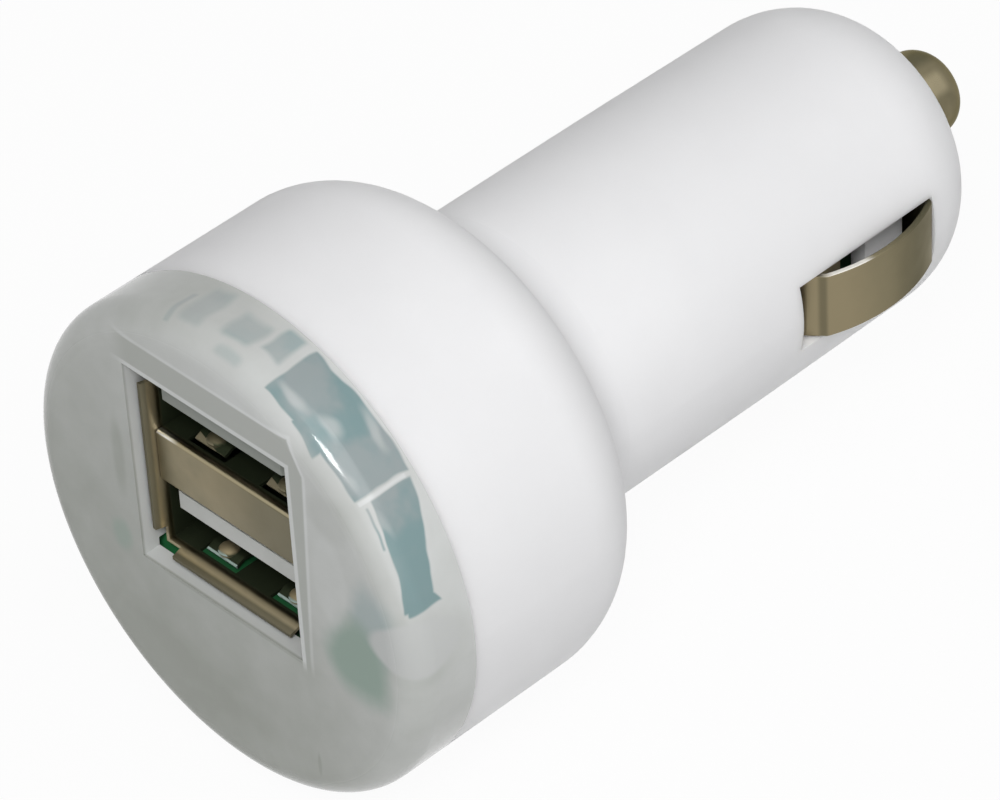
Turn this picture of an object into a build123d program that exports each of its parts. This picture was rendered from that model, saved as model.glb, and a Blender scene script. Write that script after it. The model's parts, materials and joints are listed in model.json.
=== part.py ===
from build123d import *
import math
import os

os.makedirs("parts", exist_ok=True)

# A car charger plug with two stacked ports, in millimetres.
# The plug's axis is Y, from the face towards the tip contact. X is to the right and Z is up.
# Y = 0 is the end of the neck, where the barrel starts and the car's socket stops.

# Moulded shell
head_radius = 16.7
head_length = 15.2
shoulder_radius = 5.5
neck_radius = 3.95
barrel_radius = 10.4
barrel_straight = 14.0
barrel_length = 27.1
barrel_draft = 0.1
nose_rounding = 5.4
nose_length = 6.35
shell_wall = 1.6
rail_reach = 3.2
rail_height = 1.5
rail_start = 20.5
rail_end = 25.8
web_inset = 0.65
web_wall = 1.2
web_start = 22.6
web_end = 26.0
web_top = 4.4

# Face cap
cap_length = 5.0
cap_edge_radius = 2.0
cap_front_wall = 1.3
cap_side_wall = 2.0
cap_fit = 0.1
fin_count = 12
fin_first_angle = 12.0
fin_thickness = 0.7
fin_depth = 1.4
fin_reach = 4.0
collar_wall = 0.7
collar_depth = 2.4
pad_width = 3.4
pad_height = 3.3
pad_depth = 3.2
pad_bite = 0.1

# Stacked port connector
port_width = 12.5
port_height = 4.8
port_band = 3.85
port_middle = 3.75
port_length = 14.25
port_recess = 0.75
band_recess = 0.6
sheet = 0.25
lip_flare = 0.25
lip_length = 0.75
lip_corner = 1.3
opening_gap = 0.25
leg_width = 1.2
leg_reach = 0.6
leg_first = 4.0
leg_second = 11.5
tongue_width = 11.1
tongue_thickness = 1.3
tongue_gap = 0.45
lower_tongue_recess = 0.95
upper_tongue_recess = 0.5
tongue_chamfer = 0.45
insulator_length = 4.6
insulator_fit = 0.05
strip_count = 4
strip_width = 1.0
strip_thickness = 0.2
strip_spacing = 2.3
strip_setback = 0.9
tail_step = 0.7
tail_gap = 0.4
finger_place = 3.1
finger_shift = 0.5
finger_width = 2.6
finger_gap = 0.3
finger_front = 1.65
finger_root = 7.0
finger_rise = 0.45
finger_crest = 2.35
finger_end_rise = 0.1
finger_bend = 0.8
dimple_radius = 0.65
dimple_height = 0.3
dimple_root = 0.1

# Circuit board
board_thickness = 1.6
board_head_inset = 4.3
board_head_end = -9.2
board_side_gap = 0.3
board_end = 27.4
board_front_gap = 0.75
board_gap = 0.1
hole_gap = 0.15

# Tip contact, its spring and terminal
tip_radius = 3.0
tip_proud = 5.5
tip_end_radius = 1.8
tip_wall = 0.6
tip_flange_radius = 4.5
tip_flange_thickness = 0.8
tip_clearance = 0.15
stop_gap = 0.05
spring_wire = 0.6
spring_radius = 1.7
spring_turns = 5
terminal_gap = 0.7
terminal_sheet = 0.4
terminal_width = 5.0
terminal_foot = 2.8
terminal_height = 5.4
terminal_bend = 0.6
boss_radius = 1.1
boss_height = 0.5

# Side contacts
slot_start = 15.3
slot_end = 27.4
slot_width = 5.0
slot_break = 0.2
leaf_width = 4.7
leaf_sheet = 0.4
leaf_proud = 1.05
leaf_crown = 22.0
leaf_shoulder = 17.3
leaf_shoulder_drop = 0.95
leaf_bend = 0.7
hook_end = 15.7
hook_depth = 1.8
return_end = 21.0
return_depth = 2.7
root_plane = 27.3
root_drop = 0.12
root_bend = 0.5
root_length = 3.7
tail_width = 1.2

# Parts on the board
input_can_radius = 4.0
input_can_length = 11.5
input_can_gap = 0.4
output_can_radius = 3.15
output_can_length = 7.0
part_gap = 0.5
can_groove = 0.35
can_groove_place = 1.5
can_lift = 0.1
lead_radius = 0.3
lead_spacing = 2.5
lead_reach = 0.9
core_radius = 3.8
core_flange = 1.0
core_height = 5.6
core_waist = 2.0
winding_radius = 3.3
winding_gap = 0.1
winding_chamfer = 0.4
chip_length = 4.9
chip_width = 3.9
chip_height = 1.5
chip_place = 2.0
chip_stand = 0.15
chip_draft = 7.0
lead_count = 4
lead_pitch = 1.27
lead_knee = 0.35
lead_width = 0.42
lead_sheet = 0.2
lead_foot = 1.0
diode_length = 4.3
diode_width = 2.6
diode_height = 2.0
diode_place = 9.5
tab_width = 1.5
tab_length = 1.6
tab_sheet = 0.2
led_radius = 1.5
led_height = 3.6
led_rim = 0.3
led_rim_height = 0.8
led_inset = 6.5
led_depth = 6.8
led_stand = 0.6
chip_part_length = 2.0
chip_part_width = 1.25
chip_part_pitch = 2.4
resistor_row = -4.2
resistor_count = 4
resistor_height = 0.55
capacitor_row = 15.5
capacitor_count = 3
capacitor_height = 1.2

# Places that follow from the sizes
shoulder_turn = math.acos(1 - (head_radius - barrel_radius) / (shoulder_radius + neck_radius))
shoulder_run = (shoulder_radius + neck_radius) * math.sin(shoulder_turn)
face = -(head_length + shoulder_run)
seam = face + cap_length
shoulder_start = face + head_length
nose = barrel_length + nose_length
head_bore = head_radius - shell_wall
barrel_bore = barrel_radius - shell_wall
barrel_end_radius = barrel_radius - barrel_draft
web_place = barrel_bore - web_inset
stack_width = port_width + 2 * sheet
stack_height = 2 * port_height + port_band + 2 * sheet
lip_width = stack_width + 2 * lip_flare
lip_height = stack_height + 2 * lip_flare
opening_width = lip_width + 2 * opening_gap
opening_height = lip_height + 2 * opening_gap
stack_bottom = port_middle - stack_height / 2
port_front = face + port_recess
port_back = port_front + port_length
board_top = stack_bottom
board_bottom = board_top - board_thickness
board_front = face + cap_front_wall + board_front_gap
board_head_width = 2 * (head_radius - board_head_inset)
board_tail_width = 2 * (math.sqrt(barrel_bore**2 - board_bottom**2) - board_side_gap)
insulator_back = port_back - 2 * insulator_fit
insulator_front = insulator_back - insulator_length
lower_tongue_top = port_middle - port_band / 2 - tongue_gap
upper_tongue_top = lower_tongue_top + port_height + port_band
lower_tongue_front = port_front + lower_tongue_recess
upper_tongue_front = port_front + upper_tongue_recess
lower_tail = port_back + tail_gap + strip_thickness
upper_tail = lower_tail + tail_step
input_can_start = upper_tail + input_can_gap
input_can_end = input_can_start + input_can_length
coil_place = input_can_end + lead_reach + lead_radius + part_gap + core_radius
output_can_start = coil_place + core_radius + part_gap + lead_radius + lead_reach
terminal_face = output_can_start + output_can_length + terminal_gap + terminal_foot
tip_end = nose + tip_proud
flange_front = nose - shell_wall - stop_gap
spring_start = terminal_face + stop_gap
dome_start = tip_end - tip_end_radius
dome_flat = tip_radius - tip_end_radius
inner_dome = tip_end_radius - tip_wall
coil_rim = spring_radius + spring_wire / 2 + stop_gap - dome_flat
spring_end = dome_start + math.sqrt(inner_dome**2 - coil_rim**2)


def section(y):
    """Upright plane across the plug at y, seen from the face, with X right and Z up."""
    return Plane.XZ.offset(-y)


def save(part, name):
    """Label a finished piece and write it under its own name."""
    part.label = name
    export_step(part, f"parts/{name}.step")


def plug_outline(inset):
    """Half section of the plug from the cap's seam to the nose, inset from the outside."""
    turn = math.degrees(shoulder_turn)
    head = head_radius - inset
    barrel = barrel_radius - inset
    barrel_end = barrel_end_radius - inset
    shoulder_centre = (head_radius - shoulder_radius, shoulder_start)
    neck_centre = (barrel_radius + neck_radius, 0)
    nose_centre = (barrel_end_radius - nose_rounding, barrel_length)
    with BuildSketch() as outline:
        with BuildLine():
            Polyline((0, seam), (head, seam), (head, shoulder_start))
            CenterArc(shoulder_centre, shoulder_radius - inset, 0, turn)
            CenterArc(neck_centre, neck_radius + inset, 180 + turn, -turn)
            Polyline((barrel, 0), (barrel, barrel_straight), (barrel_end, barrel_length))
            EllipticalCenterArc(nose_centre, nose_rounding - inset, nose_length - inset, 0, arc_size=90)
            Polyline((nose_centre[0], nose - inset), (0, nose - inset), (0, seam))
        make_face()
    return outline.sketch


# Housing shell: one hollow moulding with contact slots, a nose hole and guide rails for the board
outer_section = plug_outline(0)
inner_section = plug_outline(shell_wall)
with BuildPart() as housing_shell:
    revolve(outer_section, axis=Axis.Y)
    revolve(inner_section, axis=Axis.Y, mode=Mode.SUBTRACT)
    with BuildSketch(section(nose)):
        Circle(tip_radius + tip_clearance)
    extrude(amount=2 * shell_wall, mode=Mode.SUBTRACT)
    slot_middle = (slot_start + slot_end) / 2
    slot_floor = math.sqrt((barrel_bore - slot_break) ** 2 - (slot_width / 2) ** 2)
    lower_rail = board_bottom - board_gap - rail_height / 2
    rail_place = math.sqrt(barrel_bore**2 - lower_rail**2) + (shell_wall - rail_reach) / 2
    web_bottom = board_top + board_gap
    for side in (-1, 1):
        with BuildSketch(Plane.YZ.offset(side * slot_floor)):
            with Locations((slot_middle, 0)):
                Rectangle(slot_end - slot_start, slot_width)
        extrude(amount=side * 2 * shell_wall, mode=Mode.SUBTRACT)
        with BuildSketch(section(rail_end)):
            with Locations((side * rail_place, lower_rail)):
                Rectangle(rail_reach, rail_height)
        extrude(amount=rail_end - rail_start)
        with BuildSketch(section(web_end)):
            with Locations((side * web_place, (web_top + web_bottom) / 2)):
                Rectangle(web_wall, web_top - web_bottom)
        extrude(amount=web_end - web_start)
save(housing_shell.part, "housing_shell")

# Face cap: translucent cup with the port opening, a collar round it, centring fins and board pads
with BuildPart() as face_cap:
    with BuildSketch(Plane.XY):
        with BuildLine():
            inner = head_radius - cap_side_wall
            Polyline(
                (0, face),
                (head_radius, face),
                (head_radius, seam),
                (inner, seam),
                (inner, face + cap_front_wall),
                (0, face + cap_front_wall),
                close=True,
            )
        make_face()
    revolve(axis=Axis.Y)
    fillet(face_cap.edges().group_by(Axis.Y)[0], cap_edge_radius)
    with BuildSketch(section(face + cap_front_wall)):
        with PolarLocations(head_bore - cap_fit - fin_depth / 2, fin_count, fin_first_angle):
            Rectangle(fin_depth, fin_thickness)
    extrude(amount=-(cap_length - cap_front_wall + fin_reach))
    with BuildSketch(section(face + cap_front_wall)):
        pad_side = inner - pad_width / 2 + pad_bite
        with Locations((0, board_top + board_gap + pad_height / 2)):
            with GridLocations(2 * pad_side, 0, 2, 1):
                Rectangle(pad_width, pad_height)
    extrude(amount=-pad_depth)
    with BuildSketch(section(face + cap_front_wall)):
        collar_top = port_middle + opening_height / 2 + collar_wall
        collar_bottom = board_top + board_gap
        with Locations((0, (collar_top + collar_bottom) / 2)):
            Rectangle(opening_width + 2 * collar_wall, collar_top - collar_bottom)
    extrude(amount=-collar_depth)
    with BuildSketch(section(face)):
        with Locations((0, port_middle)):
            Rectangle(opening_width, opening_height)
    extrude(amount=-(cap_front_wall + collar_depth), mode=Mode.SUBTRACT)
save(face_cap.part, "face_cap")


def finger_windows(top):
    """Openings round the two spring fingers of a port floor whose upper face is at top."""
    window_width = finger_width + 2 * finger_gap
    window_front = port_front + finger_front - finger_gap
    window_length = port_front + finger_root - window_front
    with BuildPart() as windows:
        with BuildSketch(Plane.XY.offset(top)):
            with Locations((finger_shift, window_front + window_length / 2)):
                with GridLocations(2 * finger_place, 0, 2, 1):
                    Rectangle(window_width, window_length)
        extrude(amount=-sheet)
    return windows.part


def finger_dimple():
    """Round bump pressed up in a finger, on the finger's upper face, with its root sunk into the strip."""
    ball_radius = (dimple_radius**2 + dimple_height**2) / (2 * dimple_height)
    with BuildPart() as dimple:
        with Locations((0, 0, dimple_height - ball_radius)):
            Sphere(ball_radius)
        split(bisect_by=Plane.XY.offset(-dimple_root))
    return dimple.part


def spring_fingers(top):
    """Two strips that rise from the rear of their windows to a dimpled crest and dip at the free end."""
    bump = finger_dimple()
    with BuildPart() as fingers:
        for side in (-1, 1):
            with BuildSketch(Plane.YZ.offset(finger_shift + side * finger_place)):
                with BuildLine() as strip:
                    Polyline(
                        (port_front + finger_root + finger_gap, top),
                        (port_front + finger_root, top),
                        (port_front + finger_crest, top + finger_rise),
                        (port_front + finger_front, top + finger_end_rise),
                    )
                    fillet(strip.vertices().sort_by(Axis.X)[1:3], finger_bend)
                    offset(amount=sheet, side=Side.LEFT)
                make_face()
            extrude(amount=finger_width / 2, both=True)
        with Locations((finger_shift, port_front + finger_crest, top + finger_rise)):
            with GridLocations(2 * finger_place, 0, 2, 1):
                add(bump)
    return fingers.part


# Connector shell: folded tube with flared lips, sprung floor fingers and four legs through the board
with BuildPart() as usb_shell:
    tube_front = port_front + lip_length
    with BuildSketch(section(tube_front)):
        with Locations((0, port_middle)):
            Rectangle(stack_width, stack_height)
            Rectangle(stack_width - 2 * sheet, stack_height - 2 * sheet, mode=Mode.SUBTRACT)
    extrude(amount=-(port_length - lip_length))
    lip_spans = ((stack_width, stack_height, 0), (stack_height, stack_width, 90))
    for across, span, turn in lip_spans:
        for side in (-1, 1):
            with BuildSketch(Plane((0, tube_front, port_middle)).rotated((0, turn, 0))):
                with BuildLine():
                    root = side * (across / 2)
                    Polyline(
                        (root, 0),
                        (root + side * lip_flare, -lip_length),
                        (root + side * (lip_flare - sheet), -lip_length),
                        (root - side * sheet, 0),
                        close=True,
                    )
                make_face()
            extrude(amount=span / 2 - lip_corner, both=True)
    with BuildSketch(Plane.XY.offset(board_top)):
        with Locations((0, port_front + (leg_first + leg_second) / 2)):
            with GridLocations(stack_width - sheet, leg_second - leg_first, 2, 2):
                Rectangle(sheet, leg_width)
    extrude(amount=-(board_thickness + leg_reach))
    add(finger_windows(stack_bottom + sheet), mode=Mode.SUBTRACT)
    add(spring_fingers(stack_bottom + sheet))
save(usb_shell.part, "usb_shell")

# Divider: folded channel whose front is the flat band between the ports, with the upper port's fingers
with BuildPart() as usb_divider:
    divider_front = port_front + band_recess
    divider_length = insulator_front - divider_front - insulator_fit
    with BuildSketch(Plane.YZ):
        with Locations((divider_front + divider_length / 2, port_middle)):
            Rectangle(divider_length, port_band)
        with Locations((divider_front + sheet + divider_length / 2, port_middle)):
            Rectangle(divider_length, port_band - 2 * sheet, mode=Mode.SUBTRACT)
    extrude(amount=port_width / 2 - insulator_fit, both=True)
    front_edges = usb_divider.edges().filter_by(Axis.X).group_by(Axis.Y)[0]
    fillet(front_edges, sheet)
    band_top = port_middle + port_band / 2
    add(finger_windows(band_top), mode=Mode.SUBTRACT)
    add(spring_fingers(band_top))
save(usb_divider.part, "usb_divider")


def tongue(top, front):
    """Flat tongue from the insulator's block to its front edge, with chamfered front corners."""
    with BuildPart() as blade:
        with BuildSketch(section(front)):
            with Locations((0, top - tongue_thickness / 2)):
                Rectangle(tongue_width, tongue_thickness)
        extrude(amount=-(insulator_front - front))
        chamfer(blade.edges().filter_by(Axis.Z).group_by(Axis.Y)[0], tongue_chamfer)
    return blade.part


# Insulator: rear block with a tongue for each port and a passage for each contact strip
with BuildPart() as usb_insulator:
    with BuildSketch(section(insulator_front)):
        with Locations((0, port_middle)):
            block_height = 2 * port_height + port_band - 2 * insulator_fit
            Rectangle(port_width - 2 * insulator_fit, block_height)
    extrude(amount=-insulator_length)
    add(tongue(lower_tongue_top, lower_tongue_front))
    add(tongue(upper_tongue_top, upper_tongue_front))
    with BuildSketch(section(insulator_front)):
        for top in (lower_tongue_top, upper_tongue_top):
            with Locations((0, top - tongue_thickness - strip_thickness / 2)):
                with GridLocations(strip_spacing, 0, strip_count, 1):
                    Rectangle(strip_width + 2 * insulator_fit, strip_thickness + 2 * insulator_fit)
    extrude(amount=-insulator_length, mode=Mode.SUBTRACT)
save(usb_insulator.part, "usb_insulator")


def contact_row(tongue_top, tongue_front, back):
    """Contact strips along the underside of a tongue, bent down behind the block to the board."""
    strip_top = tongue_top - tongue_thickness - insulator_fit
    strip_front = tongue_front + strip_setback
    with BuildPart() as row:
        with BuildSketch(Plane.YZ):
            with BuildLine():
                Polyline(
                    (strip_front, strip_top),
                    (back, strip_top),
                    (back, board_top),
                    (back - strip_thickness, board_top),
                    (back - strip_thickness, strip_top - strip_thickness),
                    (strip_front, strip_top - strip_thickness),
                    close=True,
                )
            make_face()
        extrude(amount=strip_width / 2, both=True)
        strip = row.part
    with BuildPart() as contacts:
        with GridLocations(strip_spacing, 0, strip_count, 1):
            add(strip)
    return contacts.part


save(contact_row(lower_tongue_top, lower_tongue_front, lower_tail), "usb_lower_contacts")
save(contact_row(upper_tongue_top, upper_tongue_front, upper_tail), "usb_upper_contacts")

# Circuit board: wide under the ports, narrow in the barrel, with holes for the connector's legs
with BuildPart() as circuit_board:
    with BuildSketch(Plane.XY.offset(board_bottom)):
        with Locations((0, (board_front + board_head_end) / 2)):
            Rectangle(board_head_width, board_head_end - board_front)
        with Locations((0, (board_front + board_end) / 2)):
            Rectangle(board_tail_width, board_end - board_front)
        with Locations((0, port_front + (leg_first + leg_second) / 2)):
            with GridLocations(stack_width - sheet, leg_second - leg_first, 2, 2):
                Rectangle(sheet + 2 * hole_gap, leg_width + 2 * hole_gap, mode=Mode.SUBTRACT)
    extrude(amount=board_thickness)
save(circuit_board.part, "circuit_board")

# Tip contact: drawn cup with a domed end and a flange that stops against the nose
with BuildPart() as tip_contact:
    with BuildSketch(Plane.XY):
        with BuildLine():
            flange_back = flange_front - tip_flange_thickness
            cup_bore = tip_radius - tip_wall
            Polyline(
                (tip_radius, dome_start),
                (tip_radius, flange_front),
                (tip_flange_radius, flange_front),
                (tip_flange_radius, flange_back),
                (cup_bore, flange_back),
                (cup_bore, dome_start),
            )
            CenterArc((dome_flat, dome_start), inner_dome, 0, 90)
            Polyline(
                (dome_flat, dome_start + inner_dome),
                (0, dome_start + inner_dome),
                (0, tip_end),
                (dome_flat, tip_end),
            )
            CenterArc((dome_flat, dome_start), tip_end_radius, 0, 90)
        make_face()
    revolve(axis=Axis.Y)
save(tip_contact.part, "tip_contact")

# Tip spring: coil from the terminal into the cup
with BuildPart() as tip_spring:
    coil_length = spring_end - spring_start - spring_wire
    with BuildLine() as coil:
        Helix(coil_length / spring_turns, coil_length, spring_radius, center=(0, 0, 0))
    with BuildSketch(Plane(coil.line @ 0, z_dir=coil.line % 0)):
        Circle(spring_wire / 2)
    sweep(path=coil.line, is_frenet=True)
upright_spring = tip_spring.part.rotate(Axis.X, -90)
upright_spring = upright_spring.translate((0, spring_start + spring_wire / 2, 0))
save(upright_spring, "tip_spring")

# Tip terminal: bent tab that stands on the board, with a boss that centres the spring
with BuildPart() as tip_terminal:
    with BuildSketch(Plane.YZ):
        with BuildLine():
            upright_back = terminal_face - terminal_sheet
            Polyline(
                (terminal_face, board_top),
                (terminal_face, terminal_height + board_top),
                (upright_back, terminal_height + board_top),
                (upright_back, board_top + terminal_sheet),
                (terminal_face - terminal_foot, board_top + terminal_sheet),
                (terminal_face - terminal_foot, board_top),
                close=True,
            )
        make_face()
    extrude(amount=terminal_width / 2, both=True)
    fillet(tip_terminal.edges().filter_by(Axis.X).sort_by(Axis.Y)[-2:].sort_by(Axis.Z)[0], terminal_bend)
    with BuildSketch(section(terminal_face)):
        Circle(boss_radius)
    extrude(amount=-boss_height)
save(tip_terminal.part, "tip_terminal")


# Side contacts: bowed leaves that hook into their slots and stand on the board at the root
with BuildPart() as right_side_contact:
    leaf_reach = barrel_radius + leaf_proud
    leaf_corner = barrel_end_radius - root_drop
    leaf_root = leaf_corner - root_length
    with BuildSketch(Plane.XY):
        with BuildLine() as leaf:
            root_leg = Line((leaf_root, root_plane), (leaf_corner, root_plane))
            shoulder_point = (leaf_reach - leaf_shoulder_drop, leaf_shoulder)
            bow = ThreePointArc(root_leg @ 1, (leaf_reach, leaf_crown), shoulder_point)
            hook = Line(bow @ 1, (barrel_radius - hook_depth, hook_end))
            Line(hook @ 1, (barrel_radius - return_depth, return_end))
            bends = leaf.vertices().sort_by(Axis.X)[2:].sort_by(Axis.Y)
            fillet(bends[:-1], leaf_bend)
            fillet(bends[-1], root_bend)
            offset(amount=leaf_sheet, side=Side.RIGHT)
        make_face()
    extrude(amount=leaf_width / 2, both=True)
    with BuildSketch(Plane.XY.offset(-leaf_width / 2)):
        with Locations((leaf_root + tail_width / 2, root_plane - leaf_sheet / 2)):
            Rectangle(tail_width, leaf_sheet)
    extrude(amount=board_top + stop_gap + leaf_width / 2)
with BuildPart() as left_side_contact:
    add(right_side_contact.part)
    mirror(about=Plane.YZ, mode=Mode.REPLACE)
save(right_side_contact.part, "right_side_contact")
save(left_side_contact.part, "left_side_contact")


def lying_can(radius, length, start):
    """Electrolytic can that lies along the board, with a rolled groove near its start."""
    axis_height = board_top + can_lift + radius
    groove_low = can_groove_place - can_groove
    groove_high = can_groove_place + can_groove
    with BuildPart() as can:
        with BuildSketch(Plane((0, start, axis_height))):
            with BuildLine():
                Polyline((radius, groove_low), (radius, 0), (0, 0), (0, length), (radius, length))
                Line((radius, length), (radius, groove_high))
                ThreePointArc(
                    (radius, groove_high), (radius - can_groove, can_groove_place), (radius, groove_low)
                )
            make_face()
        revolve(axis=Axis((0, start, axis_height), (0, 1, 0)))
    return can.part


def can_leads(radius, end, reach):
    """Two wires from the end of a lying can, bent down to the board."""
    axis_height = board_top + can_lift + radius
    with BuildPart() as leads:
        for side in (-1, 1):
            across = side * lead_spacing / 2
            with BuildLine() as route:
                Polyline(
                    (across, end, axis_height),
                    (across, end + reach, axis_height),
                    (across, end + reach, board_top),
                )
            with BuildSketch(Plane(route.line @ 0, z_dir=route.line % 0)):
                Circle(lead_radius)
            sweep(path=route.line, transition=Transition.RIGHT)
    return leads.part


# Capacitors: the input can starts behind the ports, the output can faces it across the inductor
save(lying_can(input_can_radius, input_can_length, input_can_start), "input_capacitor")
save(lying_can(output_can_radius, output_can_length, output_can_start), "output_capacitor")
with BuildPart() as capacitor_leads:
    add(can_leads(input_can_radius, input_can_end, lead_reach))
    add(can_leads(output_can_radius, output_can_start, -lead_reach))
save(capacitor_leads.part, "capacitor_leads")

# Inductor: ferrite drum that stands on the board, with its winding between the flanges
coil_axis = Axis((0, coil_place, 0), (0, 0, 1))
drum_plane = Plane((0, coil_place, board_top), x_dir=(1, 0, 0), z_dir=(0, -1, 0))
waist_height = core_height - 2 * core_flange
with BuildPart() as inductor_core:
    with BuildSketch(drum_plane):
        with Locations((core_radius / 2, core_height / 2)):
            Rectangle(core_radius, core_height)
        with Locations((core_radius / 2 + core_waist / 2, core_height / 2)):
            Rectangle(core_radius - core_waist, waist_height, mode=Mode.SUBTRACT)
    revolve(axis=coil_axis)
save(inductor_core.part, "inductor_core")
with BuildPart() as inductor_winding:
    winding_inner = core_waist + winding_gap
    with BuildSketch(drum_plane):
        with Locations(((winding_inner + winding_radius) / 2, core_height / 2)):
            Rectangle(winding_radius - winding_inner, waist_height - 2 * winding_gap)
    revolve(axis=coil_axis)
    chamfer(inductor_winding.edges().group_by(SortBy.LENGTH)[-1], winding_chamfer)
save(inductor_winding.part, "inductor_winding")

# Converter chip: moulded body with gull-wing leads, under the board
chip_top = board_bottom - chip_stand
with BuildPart() as converter_chip:
    with BuildSketch(Plane.XY.offset(chip_top - chip_height / 2)):
        with Locations((0, chip_place)):
            Rectangle(chip_width, chip_length)
    extrude(amount=chip_height / 2, taper=chip_draft)
    with BuildSketch(Plane.XY.offset(chip_top - chip_height / 2)):
        with Locations((0, chip_place)):
            Rectangle(chip_width, chip_length)
    extrude(amount=-chip_height / 2, taper=chip_draft)
save(converter_chip.part, "converter_chip")
with BuildPart() as converter_leads:
    knee = chip_width / 2 + lead_knee
    lead_height = chip_top - chip_height / 2
    for side in (-1, 1):
        with BuildSketch(section(chip_place)):
            with BuildLine():
                Polyline(
                    (side * chip_width / 2, lead_height),
                    (side * (knee + lead_sheet), lead_height),
                    (side * (knee + lead_sheet), board_bottom - lead_sheet),
                    (side * (knee + lead_foot), board_bottom - lead_sheet),
                    (side * (knee + lead_foot), board_bottom),
                    (side * knee, board_bottom),
                    (side * knee, lead_height + lead_sheet),
                    (side * chip_width / 2, lead_height + lead_sheet),
                    close=True,
                )
            make_face()
    extrude(amount=lead_width / 2, both=True)
    lead_pair = converter_leads.part
with BuildPart() as lead_rows:
    with GridLocations(0, lead_pitch, 1, lead_count):
        add(lead_pair)
save(lead_rows.part, "converter_leads")

# Rectifier diode: moulded body under the board on two flat tabs
with BuildPart() as rectifier_diode:
    with BuildSketch(Plane.XY.offset(board_bottom - tab_sheet)):
        with Locations((0, diode_place)):
            Rectangle(diode_length, diode_width)
    extrude(amount=-diode_height, taper=chip_draft)
save(rectifier_diode.part, "rectifier_diode")
with BuildPart() as diode_tabs:
    with BuildSketch(Plane.XY.offset(board_bottom)):
        with Locations((0, diode_place)):
            with GridLocations(diode_length, 0, 2, 1):
                Rectangle(tab_length, tab_width)
    extrude(amount=-tab_sheet)
save(diode_tabs.part, "diode_tabs")

# Indicator lamp: domed body with a rim, on two wires beside the ports
led_place = face + led_depth
led_side = head_radius - led_inset
led_bottom = board_top + led_stand
with BuildPart() as indicator_led:
    with BuildSketch(Plane((-led_side, led_place, led_bottom), x_dir=(1, 0, 0), z_dir=(0, -1, 0))):
        with BuildLine():
            dome_height = led_height - led_radius
            Polyline(
                (0, led_height),
                (0, 0),
                (led_radius + led_rim, 0),
                (led_radius + led_rim, led_rim_height),
                (led_radius, led_rim_height),
                (led_radius, dome_height),
            )
            CenterArc((0, dome_height), led_radius, 0, 90)
        make_face()
    revolve(axis=Axis((-led_side, led_place, 0), (0, 0, 1)))
save(indicator_led.part, "indicator_led")
with BuildPart() as led_leads:
    with BuildSketch(Plane.XY.offset(board_top)):
        with Locations((-led_side, led_place)):
            with GridLocations(led_radius, 0, 2, 1):
                Circle(lead_radius)
    extrude(amount=led_stand)
save(led_leads.part, "led_leads")


def chip_row(count, place, height):
    """A row of small surface parts across the underside of the board."""
    with BuildPart() as row:
        with BuildSketch(Plane.XY.offset(board_bottom)):
            with Locations((0, place)):
                with GridLocations(chip_part_pitch, 0, count, 1):
                    Rectangle(chip_part_width, chip_part_length)
        extrude(amount=-height)
    return row.part


# Small surface parts under the board
save(chip_row(resistor_count, resistor_row, resistor_height), "chip_resistors")
save(chip_row(capacitor_count, capacitor_row, capacitor_height), "chip_capacitors")
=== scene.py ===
import json
import math
from types import SimpleNamespace

import bmesh
import bpy
from mathutils import Matrix, Vector


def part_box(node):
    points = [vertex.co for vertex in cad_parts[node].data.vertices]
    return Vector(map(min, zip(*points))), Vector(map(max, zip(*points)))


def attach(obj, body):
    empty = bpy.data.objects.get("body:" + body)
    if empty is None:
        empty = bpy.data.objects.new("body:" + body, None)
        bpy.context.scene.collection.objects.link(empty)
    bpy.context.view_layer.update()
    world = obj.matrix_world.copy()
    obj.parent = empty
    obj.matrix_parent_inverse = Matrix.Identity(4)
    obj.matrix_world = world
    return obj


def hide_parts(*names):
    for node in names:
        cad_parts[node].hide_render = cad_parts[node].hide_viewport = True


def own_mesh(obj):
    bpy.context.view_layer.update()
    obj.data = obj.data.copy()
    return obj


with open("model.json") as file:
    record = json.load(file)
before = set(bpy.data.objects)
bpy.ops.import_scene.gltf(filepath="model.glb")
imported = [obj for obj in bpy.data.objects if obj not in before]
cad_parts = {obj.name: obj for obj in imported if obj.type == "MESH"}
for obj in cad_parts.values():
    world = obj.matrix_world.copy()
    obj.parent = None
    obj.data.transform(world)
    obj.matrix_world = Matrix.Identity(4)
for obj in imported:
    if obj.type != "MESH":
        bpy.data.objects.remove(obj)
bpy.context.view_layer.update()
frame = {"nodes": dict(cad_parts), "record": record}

MM = 0.001
DEGREE = math.pi / 180

# What the record says of the nodes, bodies and mounts
RECORD = frame["record"]
SLOTS = {row["node"]: row["material_slot"] for row in RECORD["subparts"]}
BODIES = {node: body for body, nodes in RECORD["behaviour"]["bodies"].items() for node in nodes}
MOUNTS = {mount["name"]: mount for mount in RECORD["mounts"]}

# Sizes of the plug, in millimetres: across is X, along is Y from the face to the tip, upward is Z
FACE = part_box("face_cap")[0].y / MM
SEAM_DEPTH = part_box("face_cap")[1].y / MM - FACE
HEAD_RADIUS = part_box("housing_shell")[1].x / MM
PORT_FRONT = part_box("usb_shell")[0].y / MM
PORT_WIDTH = 12.5
PORT_HEIGHT = 4.8
UPPER_PORT = MOUNTS["upper_port"]["pos_m"][2] / MM
LOWER_PORT = MOUNTS["lower_port"]["pos_m"][2] / MM
PORT_MIDDLE = (UPPER_PORT + LOWER_PORT) / 2
PORTS_HALF_HEIGHT = (UPPER_PORT - LOWER_PORT + PORT_HEIGHT) / 2
BAND_TOP = UPPER_PORT - PORT_HEIGHT / 2
OPENING_GAP = 0.25
OPENING_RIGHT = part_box("usb_shell")[1].x / MM + OPENING_GAP
OPENING_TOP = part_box("usb_shell")[1].z / MM + OPENING_GAP
OPENING_HALF_HEIGHT = OPENING_TOP - PORT_MIDDLE
OPENING_BOTTOM = PORT_MIDDLE - OPENING_HALF_HEIGHT


# Node trees

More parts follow.
